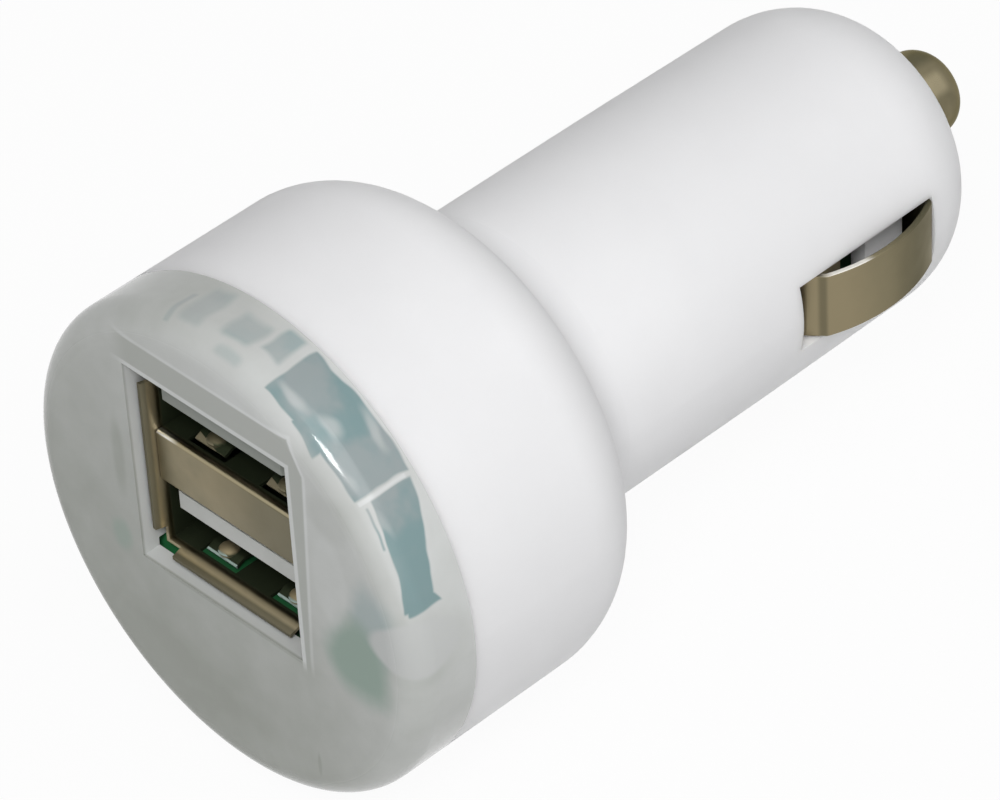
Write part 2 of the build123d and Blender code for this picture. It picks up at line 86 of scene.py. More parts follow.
# Places of the colour sockets on a Mix node
MIX_FIRST = 6
MIX_SECOND = 7
MIX_RESULT = 2
# What noise gives on average, and what it mostly stays between
NOISE_MIDDLE = 0.5
NOISE_SPREAD = (0.3, 0.7)


class Tree:
    """A node tree in the making, with short calls for the nodes that the finishes use."""

    def __init__(self, tree):
        self.tree = tree

    def node(self, kind, **settings):
        made = self.tree.nodes.new(kind)
        for name, value in settings.items():
            setattr(made, name, value)
        return made

    def feed(self, socket, value):
        """Link an input to an output, or set it to a plain number or colour."""
        if isinstance(value, bpy.types.NodeSocket):
            self.tree.links.new(value, socket)
        elif socket.type == "RGBA":
            socket.default_value = (*value, 1.0)
        else:
            socket.default_value = value

    def math(self, operation, *values):
        made = self.node("ShaderNodeMath", operation=operation)
        for socket, value in zip(made.inputs, values):
            self.feed(socket, value)
        return made.outputs[0]

    def chain(self, operation, first, *others):
        """One operation over any number of values."""
        for other in others:
            first = self.math(operation, first, other)
        return first

    def add(self, *values):
        return self.chain("ADD", *values)

    def times(self, *values):
        return self.chain("MULTIPLY", *values)

    def larger(self, *values):
        return self.chain("MAXIMUM", *values)

    def less(self, first, second):
        return self.math("SUBTRACT", first, second)

    def opposite(self, mask):
        return self.less(1.0, mask)

    def unsigned(self, value):
        return self.math("ABSOLUTE", value)

    def distance(self, across, upward):
        """How far a place is from the middle, where both are zero."""
        return self.math("SQRT", self.add(self.times(across, across), self.times(upward, upward)))

    def turn(self, across, upward):
        """Angle round the middle, in degrees, from the right upwards."""
        return self.times(self.math("ARCTAN2", upward, across), 1 / DEGREE)

    def towards(self, value, goal, *shares):
        """A value moved towards a goal, by all the shares multiplied."""
        return self.add(value, self.times(self.less(goal, value), *shares))

    def map_range(self, value, low, high, to_low, to_high, **settings):
        made = self.node("ShaderNodeMapRange", clamp=True, **settings)
        named = {"Value": value, "From Min": low, "From Max": high, "To Min": to_low, "To Max": to_high}
        for name, item in named.items():
            self.feed(made.inputs[name], item)
        return made.outputs["Result"]

    def spread(self, value, low, high, to_low, to_high):
        """to_low at low and below, to_high at high and above, and even between."""
        return self.map_range(value, low, high, to_low, to_high)

    def rise(self, value, low, high):
        """0 below low, 1 above high, and an eased step between."""
        return self.map_range(value, low, high, 0.0, 1.0, interpolation_type="SMOOTHSTEP")

    def fade(self, value, low, high):
        """1 below low, 0 above high, and an eased step between."""
        return self.opposite(self.rise(value, low, high))

    def mix(self, share, first, second):
        """The first colour where the share is 0, the second where it is 1."""
        made = self.node("ShaderNodeMix", data_type="RGBA", clamp_factor=True)
        self.feed(made.inputs["Factor"], share)
        self.feed(made.inputs[MIX_FIRST], first)
        self.feed(made.inputs[MIX_SECOND], second)
        return made.outputs[MIX_RESULT]

    def paint(self, colour, tone, *masks):
        """A colour with a tone laid over it, by all the masks multiplied."""
        return self.mix(self.times(*masks), colour, tone)

    def place(self):
        """Place on the piece, in metres, as a vector."""
        return self.node("ShaderNodeTexCoord").outputs["Object"]

    def split(self, vector):
        made = self.node("ShaderNodeSeparateXYZ")
        self.feed(made.inputs[0], vector)
        return made.outputs

    def axes(self):
        """Place on the piece across, along and upward, in millimetres."""
        scaled = self.node("ShaderNodeVectorMath", operation="SCALE")
        self.feed(scaled.inputs[0], self.place())
        scaled.inputs["Scale"].default_value = 1 / MM
        return self.split(scaled.outputs["Vector"])

    def faced_up(self):
        """How far the surface faces up: 1 where it is level, 0 where it is upright."""
        return self.split(self.node("ShaderNodeTexCoord").outputs["Normal"])["Z"]

    def noise(self, scale, detail=2.0, roughness=0.5):
        """Noise over the piece, at a scale in waves per metre."""
        made = self.node("ShaderNodeTexNoise")
        named = {"Vector": self.place(), "Scale": scale, "Detail": detail, "Roughness": roughness}
        for name, value in named.items():
            self.feed(made.inputs[name], value)
        return made.outputs["Fac"]

    def drift(self, scale, detail=2.0, roughness=0.5):
        """Noise over the piece that strays to both sides of zero."""
        return self.less(self.noise(scale, detail, roughness), NOISE_MIDDLE)

    def group(self, group, **values):
        """A node group with its inputs fed: an underscore in a name stands for a space."""
        made = self.node("ShaderNodeGroup", node_tree=group)
        for name, value in values.items():
            self.feed(made.inputs[name.replace("_", " ")], value)
        return made.outputs

    def mottle(self, light, dark, scale):
        return self.group(MOTTLE, Light=light, Dark=dark, Scale=scale)

    def grain(self, scale, smooth=0.5, rough=0.5):
        return self.group(GRAIN, Scale=scale, Smooth=smooth, Rough=rough)

    def band(self, value, low, high, soft):
        return self.group(BAND, Value=value, Low=low, High=high, Soft=soft)["Mask"]

    def spot(self, across, upward, centre, half, soft):
        made = self.group(
            SPOT, Across=across, Upward=upward, Soft=soft, Centre_Across=centre[0], Centre_Upward=centre[1],
            Half_Width=half[0], Half_Height=half[1],
        )
        return made["Mask"]


# Effects that the finishes share

COLOUR_SOCKETS = ("Light", "Dark", "Color")
# Smears of smooth and rough skin, in waves per metre
SMEAR_SCALE = 420.0


def new_group(name, inputs, outputs):
    """Shader node group with named sockets; returns its tree, its inputs and its outputs."""
    group = bpy.data.node_groups.new(name, "ShaderNodeTree")
    for direction, sockets in (("INPUT", inputs), ("OUTPUT", outputs)):
        for socket_name in sockets:
            kind = "NodeSocketColor" if socket_name in COLOUR_SOCKETS else "NodeSocketFloat"
            group.interface.new_socket(socket_name, in_out=direction, socket_type=kind)
    tree = Tree(group)
    return tree, tree.node("NodeGroupInput").outputs, tree.node("NodeGroupOutput").inputs


def make_mottle():
    """Soft uneven tone, as moulded plastic and plating have: a colour, and a value from 0 to 1."""
    tree, given, result = new_group("mottle", ("Light", "Dark", "Scale"), ("Color", "Value"))
    value = tree.rise(tree.noise(given["Scale"], detail=3.0, roughness=0.55), *NOISE_SPREAD)
    tree.feed(result["Value"], value)
    tree.feed(result["Color"], tree.mix(value, given["Light"], given["Dark"]))
    return tree.tree


def make_grain():
    """Fine surface relief and the roughness that goes with it."""
    tree, given, result = new_group("grain", ("Scale", "Smooth", "Rough"), ("Height", "Roughness"))
    tree.feed(result["Height"], tree.noise(given["Scale"], detail=4.0, roughness=0.6))
    smear = tree.noise(SMEAR_SCALE)
    tree.feed(result["Roughness"], tree.spread(smear, *NOISE_SPREAD, given["Smooth"], given["Rough"]))
    return tree.tree


def make_band():
    """Mask of a band of a value, with soft edges."""
    tree, given, result = new_group("band", ("Value", "Low", "High", "Soft"), ("Mask",))
    value, soft = given["Value"], given["Soft"]
    start = tree.rise(value, tree.less(given["Low"], soft), tree.add(given["Low"], soft))
    end = tree.rise(value, tree.less(given["High"], soft), tree.add(given["High"], soft))
    tree.feed(result["Mask"], tree.less(start, end))
    return tree.tree


def make_spot():
    """Mask of an oval spot, with a soft edge."""
    tree, given, result = new_group(
        "spot",
        ("Across", "Upward", "Centre Across", "Centre Upward", "Half Width", "Half Height", "Soft"),
        ("Mask",),
    )
    across = tree.math("DIVIDE", tree.less(given["Across"], given["Centre Across"]), given["Half Width"])
    upward = tree.math("DIVIDE", tree.less(given["Upward"], given["Centre Upward"]), given["Half Height"])
    soft = given["Soft"]
    mask = tree.fade(tree.distance(across, upward), tree.less(1.0, soft), tree.add(1.0, soft))
    tree.feed(result["Mask"], mask)
    return tree.tree


MOTTLE = make_mottle()
GRAIN = make_grain()
BAND = make_band()
SPOT = make_spot()


# Plain plastics and metals

# Fine grain of a skin, in waves per metre, its depth in millimetres, and how strongly it shows
MOULD_GRAIN = 2600.0
MOULD_DEPTH = 0.02
MOULD_RELIEF = 0.15
METAL_GRAIN = 3400.0
METAL_DEPTH = 0.015
METAL_RELIEF = 0.2
# How far light strays inside plastic, in millimetres, the same for red, green and blue
SCATTER_REACH = 2.0
SCATTER_SHARES = (1.0, 1.0, 1.0)


def new_material(name):
    """Material with a bare Principled shader; returns the material, its tree and the shader."""
    material = bpy.data.materials.new(name)
    material.use_nodes = True
    return material, Tree(material.node_tree), material.node_tree.nodes["Principled BSDF"]


def bump(tree, shader, height, strength, distance):
    """Relief of a height from 0 to 1, over a distance in millimetres."""
    made = tree.node("ShaderNodeBump")
    made.inputs["Strength"].default_value = strength
    made.inputs["Distance"].default_value = distance * MM
    tree.feed(made.inputs["Height"], height)
    tree.feed(shader.inputs["Normal"], made.outputs["Normal"])


def moulded_skin(tree, shader, colour, smooth, rough, relief=MOULD_RELIEF):
    """Plastic, ceramic or resin of a colour, with a fine skin."""
    skin = tree.grain(MOULD_GRAIN, smooth, rough)
    tree.feed(shader.inputs["Base Color"], colour)
    tree.feed(shader.inputs["Roughness"], skin["Roughness"])
    bump(tree, shader, skin["Height"], relief, MOULD_DEPTH)


def metal_skin(tree, shader, colour, smooth, rough):
    """Metal of a colour, with fine rubbing."""
    skin = tree.grain(METAL_GRAIN, smooth, rough)
    tree.feed(shader.inputs["Base Color"], colour)
    tree.feed(shader.inputs["Roughness"], skin["Roughness"])
    shader.inputs["Metallic"].default_value = 1.0
    bump(tree, shader, skin["Height"], METAL_RELIEF, METAL_DEPTH)


def moulded(name, light, dark, smooth, rough, scale=160.0, relief=MOULD_RELIEF, gloss=0.5, scatter=0.0):
    """Moulded plastic, ceramic or resin of uneven tone, which may scatter light inside it."""
    material, tree, shader = new_material(name)
    moulded_skin(tree, shader, tree.mottle(light, dark, scale)["Color"], smooth, rough, relief)
    shader.inputs["Specular IOR Level"].default_value = gloss
    shader.inputs["Subsurface Weight"].default_value = scatter
    shader.inputs["Subsurface Scale"].default_value = SCATTER_REACH * MM
    shader.inputs["Subsurface Radius"].default_value = SCATTER_SHARES
    return material


def plated(name, light, dark, smooth, rough, scale=220.0):
    """Plated or bare metal of uneven tone."""
    material, tree, shader = new_material(name)
    metal_skin(tree, shader, tree.mottle(light, dark, scale)["Color"], smooth, rough)
    return material


# Nickel plate: warm, with uneven tones; the three brightest tones serve painted highlights, and the deepest
# serves painted shade

NICKEL_GLINT = (0.80, 0.78, 0.72)
NICKEL_SHEEN = (0.50, 0.43, 0.28)
NICKEL_HIGHLIGHT = (0.34, 0.295, 0.19)
NICKEL_LIGHT = (0.285, 0.240, 0.148)
NICKEL_MIDDLE = (0.216, 0.188, 0.117)
NICKEL_DULL = (0.140, 0.125, 0.078)
NICKEL_SHADE = (0.085, 0.080, 0.050)

# Side contact, in millimetres along the plug: the painted shade at its bend and the painted highlight along
# its upper edge, as from, to and softness
LEAF_BEND_SHADE = (16.95, 17.3, 0.12)
LEAF_BEND_SHADE_STRENGTH = 0.55
LEAF_EDGE_HIGHLIGHT = (17.4, 20.4, 0.5)
# How far the upper edge of the side contact faces up where its painted highlight lies
LEAF_EDGE_FACING = (0.55, 0.85)
# Painted reflection and shade from its free end to its root, lighter at the end and darker at the root: where
# each sets in and where it is full, strength, tone
LEAF_SHADE_TONES = (
    (18.4, 21.8, 1.0, NICKEL_MIDDLE),
    (21.3, 24.0, 1.0, NICKEL_DULL),
    (23.2, 25.4, 0.75, NICKEL_SHADE),
)
LEAF_MOTTLE = 160.0
LEAF_TINT = (0.88, 0.83, 0.72)

# Tip contact: the side with a painted highlight and the top with painted shade, in degrees round the axis, as
# from, to and softness
TIP_HIGHLIGHT_TURN = (33.0, 60.0, 7.0)
TIP_HIGHLIGHT_STRENGTH = 0.8
TIP_SHADE_TURN = (78.0, 106.0, 9.0)
TIP_SHADE_STRENGTH = 0.75
# Where its painted highlight ends, in millimetres along the plug
TIP_HIGHLIGHT_END = (36.9, 37.7)
TIP_MOTTLE = 300.0
TIP_TINT = (0.70, 0.66, 0.54)


def leaf_nickel():
    """Side contact: painted reflection that is lighter at its free end and darker at the root, with painted
    shade at the bend and a painted highlight on the upper edge.
    """
    material, tree, shader = new_material("leaf_nickel")
    along = tree.axes()["Y"]
    uneven = tree.mottle(NICKEL_MIDDLE, NICKEL_DULL, LEAF_MOTTLE)
    wander = tree.add(along, tree.less(uneven["Value"], NOISE_MIDDLE))
    colour = NICKEL_LIGHT
    # Painted reflection: lighter at the free end, darker towards the root
    for start, full, strength, tone in LEAF_SHADE_TONES:
        colour = tree.paint(colour, tone, tree.rise(wander, start, full), strength)
    # Painted shade at the bend
    colour = tree.paint(colour, NICKEL_SHADE, tree.band(along, *LEAF_BEND_SHADE), LEAF_BEND_SHADE_STRENGTH)
    # Painted highlight along the upper edge
    upper_edge_highlight = tree.rise(tree.faced_up(), *LEAF_EDGE_FACING)
    colour = tree.paint(colour, NICKEL_GLINT, upper_edge_highlight, tree.band(along, *LEAF_EDGE_HIGHLIGHT))
    metal_skin(tree, shader, colour, smooth=0.28, rough=0.40)
    tree.feed(shader.inputs["Specular Tint"], LEAF_TINT)
    return material


def tip_nickel():
    """Tip contact: painted shade above, and a painted highlight along one side that stops short of its end.
    """
    material, tree, shader = new_material("tip_nickel")
    across, along, upward = tree.axes()
    angle = tree.turn(across, upward)
    colour = tree.mottle(NICKEL_MIDDLE, NICKEL_DULL, TIP_MOTTLE)["Color"]
    # Painted highlight along one side, stopping short of the end
    tip_highlight = tree.times(tree.band(angle, *TIP_HIGHLIGHT_TURN), tree.fade(along, *TIP_HIGHLIGHT_END))
    colour = tree.paint(colour, NICKEL_HIGHLIGHT, tip_highlight, TIP_HIGHLIGHT_STRENGTH)
    # Painted shade on the top
    colour = tree.paint(colour, NICKEL_SHADE, tree.band(angle, *TIP_SHADE_TURN), TIP_SHADE_STRENGTH)
    metal_skin(tree, shader, colour, smooth=0.26, rough=0.38)
    tree.feed(shader.inputs["Specular Tint"], TIP_TINT)
    return material


# Ports: the sheet, the tongues and the board's front edge

# In millimetres across, upward or behind the ports' front; pairs are steps, threes a band and its softness
# Painted shade across the port sheet, from the lit left to the darker right
PORT_SHADE_ACROSS = (-6.0, 6.5)
PORT_MOTTLE = 240.0
LIP_START = (-0.15, 0.05)
LIP_END = (0.25, 0.5)
LIP_DULLNESS = 0.35
# Painted highlight on the ridge behind the lips, and along the band's top edge
RIDGE_HIGHLIGHT_DEPTH = (0.4, 0.85, 0.14)
LOW_RIDGE_TOP = (-2.8, -2.3)
BAND_HIGHLIGHT = (BAND_TOP - 0.4, BAND_TOP + 0.1, 0.05)
BAND_HIGHLIGHT_END = (0.95, 1.15)
BAND_HIGHLIGHT_FACING = (0.25, 0.6)
BAND_GLINT_END = (-5.4, -4.2)
# Painted shade inside the ports: where it starts and is full, and its colour; then the roughness there
CAVITY_SHADE_START = (0.9, 1.3)
CAVITY_SHADE = (0.038, 0.048, 0.027)
CAVITY_ROUGHNESS = 0.7
# Spring fingers in each port: where they stand, their bumps with painted light, and how much of their ends
# shows with a painted glint
UPPER_FINGERS_FROM = (4.0, 5.0)
FINGER_PLACES = (-2.6, 3.6)
FINGER_HALF = 1.3
FINGER_FRONT = 1.65
FINGER_LEAD = 0.2
FINGER_TAPER_END = 0.6
FINGER_SIDE_SOFT = 0.05
FINGER_END_SOFT = 0.03
UPPER_END_LENGTH = 0.45
LOWER_END_LENGTH = 0.13
FINGER_END_GLINT = (0.36, 0.46, 0.42)
FINGER_END_DULLNESS = 0.9
DIMPLE_PLACE = 2.35
DIMPLE_HALF = (0.65, 0.65)
DIMPLE_SOFT = 0.12
DIMPLE_FACING = (0.1, 0.5)
# Tongues, with painted shade in the upper port and deep inside, and the circuit board, whose front corners
# get painted light
TONGUE_LIGHT = (0.52, 0.53, 0.51)
TONGUE_DARK = (0.46, 0.47, 0.45)
TONGUE_UPPER_SHADE = (0.245, 0.262, 0.237)
TONGUE_MOTTLE = 200.0
UPPER_TONGUE_SHADE_FROM = (4.0, 7.0)
TONGUE_SHADE_DEPTH = (2.0, 3.6)
BOARD_LIGHT = (0.013, 0.105, 0.034)
BOARD_DARK = (0.010, 0.085, 0.027)
BOARD_CORNER_LIGHT = (0.036, 0.285, 0.095)
BOARD_MOTTLE = 400.0
BOARD_FRONT_END = (2.2, 4.0)
BOARD_SIDE_FROM = (4.6, 5.4)


def port_axes(tree):
    """Place across, upward and behind the ports' front, in millimetres."""
    across, along, upward = tree.axes()
    return across, upward, tree.less(along, PORT_FRONT)


def past_ports(tree, across, upward, half_width, half_height):
    """How far a place lies outside a rectangle round the middle of the ports, in millimetres."""
    past_side = tree.less(tree.unsigned(across), half_width)
    past_height = tree.less(tree.unsigned(tree.less(upward, PORT_MIDDLE)), half_height)
    return tree.larger(past_side, past_height)


def port_lips(tree, colour, across, upward, depth, faced_up):
    """Darker lips with a painted highlight on the ridge behind them, and a painted highlight along the band's
    top edge: the colour, and a mask of the lips.
    """
    past = past_ports(tree, across, upward, PORT_WIDTH / 2, PORTS_HALF_HEIGHT)
    outer = tree.rise(past, *LIP_START)
    lip = tree.times(outer, tree.fade(depth, *LIP_END))
    ridge = tree.times(outer, tree.band(depth, *RIDGE_HIGHLIGHT_DEPTH))
    ridge_highlight_tone = tree.mix(tree.fade(upward, *LOW_RIDGE_TOP), NICKEL_LIGHT, NICKEL_SHEEN)
    colour = tree.paint(colour, NICKEL_DULL, lip)
    # Painted highlight on the ridge, brighter on the lowest lip
    colour = tree.paint(colour, ridge_highlight_tone, ridge)
    # Painted highlight along the band's top edge, whitest at its left end
    edge = tree.times(tree.rise(faced_up, *BAND_HIGHLIGHT_FACING), tree.band(upward, *BAND_HIGHLIGHT))
    band_highlight_tone = tree.mix(tree.rise(across, *BAND_GLINT_END), NICKEL_GLINT, NICKEL_HIGHLIGHT)
    colour = tree.paint(colour, band_highlight_tone, edge, tree.fade(depth, *BAND_HIGHLIGHT_END))
    return colour, tree.add(lip, ridge)


def port_fingers(tree, colour, across, upward, depth, faced_up):
    """Painted light on the bumps and painted glints on the ends of the spring fingers in both ports: the
    colour, and a mask of the glints.
    """
    upper = tree.rise(upward, *UPPER_FINGERS_FROM)
    dimple_light_tone = tree.mix(upper, NICKEL_LIGHT, NICKEL_DULL)
    end_glint_tone = tree.mix(upper, FINGER_END_GLINT, NICKEL_MIDDLE)
    ends = 0.0
    for place in FINGER_PLACES:
        left, right = place - FINGER_HALF, place + FINGER_HALF
        dimple = tree.spot(across, depth, (place, DIMPLE_PLACE), DIMPLE_HALF, DIMPLE_SOFT)
        dimple = tree.times(dimple, tree.rise(faced_up, *DIMPLE_FACING))
        taper = tree.spread(across, left, place + FINGER_TAPER_END, UPPER_END_LENGTH, 0.0)
        length = tree.towards(LOWER_END_LENGTH, taper, upper)
        end = tree.times(
            tree.band(across, left, right, FINGER_SIDE_SOFT),
            tree.band(depth, FINGER_FRONT - FINGER_LEAD, tree.add(length, FINGER_FRONT), FINGER_END_SOFT),
            tree.opposite(dimple),
        )
        # Painted light on the bump, and a painted glint on the finger's end
        colour = tree.paint(colour, dimple_light_tone, dimple)
        colour = tree.paint(colour, end_glint_tone, end)
        ends = tree.larger(ends, end)
    return colour, ends


def port_nickel():
    """Port sheet: two-toned lips, a plain band, and painted shade inside, where only the spring fingers show.
    """
    material, tree, shader = new_material("port_nickel")
    across, upward, depth = port_axes(tree)
    faced_up = tree.faced_up()
    colour = tree.mottle(NICKEL_LIGHT, NICKEL_MIDDLE, PORT_MOTTLE)["Color"]
    # Painted shade towards the right
    colour = tree.paint(colour, NICKEL_DULL, tree.rise(across, *PORT_SHADE_ACROSS))
    colour, lips = port_lips(tree, colour, across, upward, depth, faced_up)
    inside = tree.rise(depth, *CAVITY_SHADE_START)
    # Painted shade deep inside the ports
    colour = tree.paint(colour, CAVITY_SHADE, inside)
    colour, ends = port_fingers(tree, colour, across, upward, depth, faced_up)
    dullness = tree.larger(tree.times(lips, LIP_DULLNESS), tree.times(ends, FINGER_END_DULLNESS))
    skin = tree.grain(METAL_GRAIN, smooth=0.28, rough=0.42)
    roughness = tree.larger(skin["Roughness"], tree.times(inside, CAVITY_ROUGHNESS))
    tree.feed(shader.inputs["Base Color"], colour)
    tree.feed(shader.inputs["Roughness"], roughness)
    tree.feed(shader.inputs["Metallic"], tree.opposite(dullness))
    bump(tree, shader, skin["Height"], METAL_RELIEF, METAL_DEPTH)
    return material


def tongue_white():
    """Port tongues: white plastic, with painted shade in the upper port and deep inside."""
    material, tree, shader = new_material("tongue_white")
    _, upward, depth = port_axes(tree)
    colour = tree.mottle(TONGUE_LIGHT, TONGUE_DARK, TONGUE_MOTTLE)["Color"]
    # Painted shade on the upper tongue
    colour = tree.paint(colour, TONGUE_UPPER_SHADE, tree.rise(upward, *UPPER_TONGUE_SHADE_FROM))
    # Painted shade deep inside
    colour = tree.paint(colour, CAVITY_SHADE, tree.rise(depth, *TONGUE_SHADE_DEPTH))
    moulded_skin(tree, shader, colour, smooth=0.45, rough=0.55)
    return material


def board_green():
    """Circuit board: green mask, brighter at its front corners by painted light, where the light comes in."""
    material, tree, shader = new_material("board_green")
    across, _, depth = port_axes(tree)
    colour = tree.mottle(BOARD_LIGHT, BOARD_DARK, BOARD_MOTTLE)["Color"]
    sides = tree.rise(tree.unsigned(across), *BOARD_SIDE_FROM)
    # Painted light at the front corners
    colour = tree.paint(colour, BOARD_CORNER_LIGHT, tree.fade(depth, *BOARD_FRONT_END), sides)
    moulded_skin(tree, shader, colour, smooth=0.45, rough=0.55)
    return material


# Cap: milky plastic with painted light, a painted frame of shade and highlight round the ports, and clear
# windows round its side

MILK_DEEP = (0.325, 0.340, 0.305)
MILK_PALE = (0.712, 0.728, 0.726)
MILK_PAD = (0.540, 0.553, 0.545)
MILK_GREEN = (0.262, 0.352, 0.300)
MILK_BLUE = (0.345, 0.418, 0.418)
WINDOW_TEAL = (0.225, 0.345, 0.355)
WINDOW_GREY = (0.345, 0.400, 0.405)

# Depth is behind the face, and reach runs over the rim: it is the depth on the side, and on the face it is
# below zero by the distance inside the rim. Both are in millimetres.
# Pairs are steps from and to, threes a band and its softness
CAP_CORNER = (-1.6, 0.4)
FACE_MARKS_END = (0.3, 0.9)
FACE_TINTS_END = (0.6, 1.6)
# Painted light: milk that grows paler up the face and round the side towards the lit angle: from, to, and the
# paleness there, 0 deep and 1 pale
CLIMB_ACROSS = 0.55
CLIMB_UPWARD = 0.83
FACE_PAINTED_LIGHT = (-12.0, 16.0, 0.02, 0.72)
LIT_ANGLE = 45.0
SIDE_PAINTED_LIGHT = (0.5, 1.0, 0.40, 0.74)
CLOUD_SCALE = 130.0
CLOUD_CHANGE = 0.38
WISP_SCALE = 460.0
WISP_CHANGE = 0.20
# Soft spots seen through the face: centre and half size across and up, softness, change of paleness
CAP_SPOTS = (
    ((10.1, 4.4), (1.4, 3.3), 0.2, 0.06),
    ((10.4, 9.2), (1.7, 1.6), 0.3, -0.12),
    ((-8.3, 3.4), (0.5, 2.8), 0.5, -0.18),
    ((4.0, 13.0), (5.0, 1.6), 0.5, 0.06),
    ((-4.0, -11.5), (6.0, 2.5), 0.6, -0.06),
    ((7.5, -5.5), (3.2, 4.2), 0.6, -0.10),
    ((-12.0, 5.0), (2.0, 4.0), 0.6, 0.06),
    ((7.7, -11.6), (0.14, 0.8), 0.5, -0.22),
)
# Tinted spots there: centre, half size, softness, strength, colour, at places that stray a little
CAP_TINTS = (
    ((13.4, 2.8), (1.6, 2.6), 0.40, 0.85, MILK_BLUE),
    ((11.9, -0.6), (2.5, 3.0), 0.35, 1.0, MILK_GREEN),
    ((-8.7, -3.2), (0.9, 1.2), 0.5, 0.60, MILK_GREEN),
)
STRAY_SCALE = 300.0
STRAY_REACH = 1.8

# Painted frame above and to the right of the port opening: painted shade where the collar shows through, a
# pale outer line and a painted highlight on the rim; its widths, its cut corner and where it fades out
FRAME_ABOVE = 2.2
FRAME_BESIDE = 1.45
FRAME_FOOT = 0.75
FRAME_HEIGHTS = (-3.0, 11.0)
FRAME_CORNER_START = 0.3
FRAME_CORNER_ACROSS = 0.88
FRAME_CORNER_UPWARD = 0.48
FRAME_LEFT = (-OPENING_RIGHT - 1.4, -OPENING_RIGHT + 0.8)
FRAME_BOTTOM = (OPENING_BOTTOM - 0.9, OPENING_BOTTOM + 0.3)
FRAME_OUTER_STEP = (-0.08, 0.08)
FRAME_INNER_STEP = (-0.05, 0.05)
FRAME_LINE = (0.0, 0.25, 0.1)
FRAME_RIM_HIGHLIGHT = (0.0, 0.34, 0.07)
FRAME_SHADE_PALENESS = 0.16
FRAME_SHADE_STRENGTH = 0.8
LINE_CHANGE = 0.22
RIM_HIGHLIGHT_PALENESS = 0.78
# Walls of the opening, with painted light that is paler higher up, and the painted shade below it
WALL_STEP = (0.02, 0.12)
WALL_START = (0.05, 0.25)
WALL_HEIGHTS = (OPENING_BOTTOM + 0.3, OPENING_BOTTOM + 1.6)
WALL_PAINTED_LIGHT = (0.80, 0.83)
SHADE_HEIGHTS = (OPENING_BOTTOM - 0.22, OPENING_BOTTOM, 0.08)
SHADE_WIDTHS = (-5.0, OPENING_RIGHT, 0.8)
SHADE_CHANGE = 0.18

# Round the side, in degrees round the axis and millimetres of reach: pad, painted shade round the pad, rib,
# painted shade along the rim, and pale seam
PAD_CENTRE = (7.2, 0.3)
PAD_HALF = (7.0, 3.7)
PAD_SOFT = 0.12
PAD_STRENGTH = 0.9
PAD_SHADE_CENTRE = (6.4, 0.2)
PAD_SHADE_HALF = (9.0, 4.4)
PAD_SHADE_SOFT = 0.25
RIM_SHADE_TURN = (14.0, 58.0, 3.0)
RIM_SHADE_REACH = (-1.6, 0.3, 0.3)
EDGE_SHADE_CHANGE = 0.12
SEAM_STEP = (SEAM_DEPTH - 0.3, SEAM_DEPTH - 0.12)
SEAM_CHANGE = 0.25
RIB_TURN = (41.2, 42.1, 0.25)
RIB_REACH = (0.5, 4.3, 0.1)
RIB_STRENGTH = 0.65
# Clear windows between the fins there, and a thin clear line: from angle, to angle, near edge, far edge,
# how much the near and the far edge lean per degree, strength, softness
CAP_WINDOWS = (
    (42.3, 72.0, 0.30, 4.75, 0.0, 0.0, 1.0, 0.3),
    (54.6, 63.5, -0.60, 0.60, 0.085, 0.0, 1.0, 0.3),
    (16.5, 41.0, 0.30, 2.60, 0.045, 0.080, 1.0, 0.3),
    (15.6, 19.5, 0.60, 3.20, 0.0, -0.18, 1.0, 0.3),
    (31.0, 40.0, 0.55, 0.75, 0.02, 0.02, 0.7, 0.25),
    (74.3, 79.3, 2.3, 4.6, 0.0, 0.0, 0.62, 0.6),
    (81.3, 89.0, 1.7, 3.9, 0.0, 0.0, 0.52, 0.8),
    (80.0, 87.0, 0.0, 0.9, 0.0, 0.0, 0.30, 0.8),
    (93.6, 99.6, 1.0, 4.4, 0.0, 0.0, 0.42, 0.9),
    (101.2, 102.8, 0.3, 3.3, 0.0, 0.0, 0.40, 0.4),
    (150.0, 176.0, 0.5, 4.6, 0.0, 0.0, 0.7, 0.5),
    (186.0, 212.0, 0.4, 4.6, 0.0, 0.0, 0.8, 0.4),
    (222.0, 248.0, 0.6, 4.5, 0.0, 0.0, 0.6, 0.5),
    (258.0, 284.0, 0.5, 4.6, 0.0, 0.0, 0.7, 0.5),
)
WINDOW_EDGE = 0.4
WINDOW_EDGE_TURN = 1.4
WOBBLE_SCALE = 420.0
WOBBLE_TURN = 2.6
WOBBLE_REACH = 0.8
# What shows through the windows: greyer patches above the teal end, in degrees, and milky smears with
# centre, half size and strength
PATCH_SCALE = 300.0
PATCH_SPREAD = (0.36, 0.64)
TEAL_END = (18.0, 40.0)
WINDOW_SMEARS = (
    ((67.0, 1.6), (3.4, 0.42), 0.50),
    ((57.5, 2.0), (2.6, 0.45), 0.55),
    ((52.5, 4.3), (4.0, 0.35), 0.45),
    ((47.0, 1.2), (2.4, 0.30), 0.25),
    ((36.0, 1.6), (3.0, 0.30), 0.22),
)
SMEAR_SOFT = 0.7
# Skin: rough on the face, smooth on the side, from and to in reach; how opaque milk and windows are; grain
CAP_ROUGHNESS = (-1.8, -0.9, 0.42, 0.12)
CAP_OPACITY = (0.92, 0.80)
CAP_GRAIN = 1500.0
CAP_RELIEF = 0.06
CAP_DEPTH = 0.03


def cap_places(tree):
    """Where a point of the cap lies, and masks of its face and its side."""
    across, along, upward = tree.axes()
    depth = tree.less(along, FACE)
    reach = tree.add(depth, tree.less(tree.distance(across, upward), HEAD_RADIUS))
    return SimpleNamespace(
        across=across,
        upward=upward,
        angle=tree.turn(across, upward),
        depth=depth,
        reach=reach,
        face=tree.fade(depth, *FACE_MARKS_END),
        side=tree.rise(reach, *CAP_CORNER),
    )


